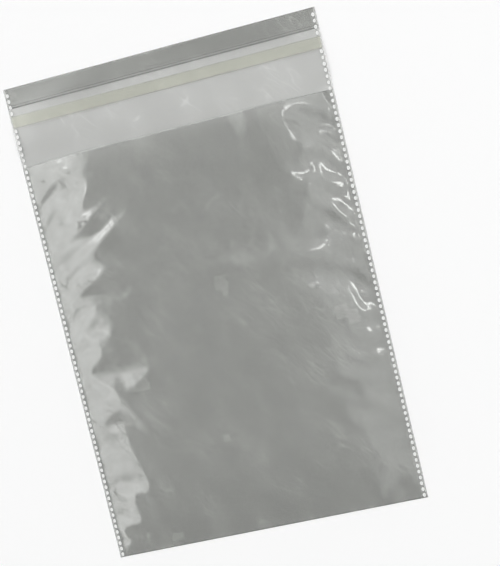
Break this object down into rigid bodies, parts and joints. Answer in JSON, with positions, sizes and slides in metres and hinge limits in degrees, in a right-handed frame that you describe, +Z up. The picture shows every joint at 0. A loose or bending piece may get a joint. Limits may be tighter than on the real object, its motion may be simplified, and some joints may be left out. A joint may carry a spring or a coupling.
{
  "type": "self-seal plastic bag",
  "caption": "Clear film bag lying flat, folded at the bottom, with dotted side seams and a flap that has a turned lip and a peel-and-seal adhesive strip under a release liner.",
  "frame": {"origin": "middle of the bag's footprint, on the surface that it lies on", "axes": "+X across the bag, +Y from the bottom fold to the flap, +Z up from the back panel to the front panel"},
  "size_m": [0.16, 0.245, 0.0076],
  "materials": {
    "clear_film": "clear, glossy polypropylene film with soft wrinkles and fine scratches",
    "adhesive": "hazy, faintly yellow transfer adhesive",
    "liner_film": "clear, glossy release film"
  },
  "bodies": {
    "root": {"bag_film": "clear_film", "adhesive_strip": "adhesive", "release_liner": "liner_film"}
  },
  "joints": []
}
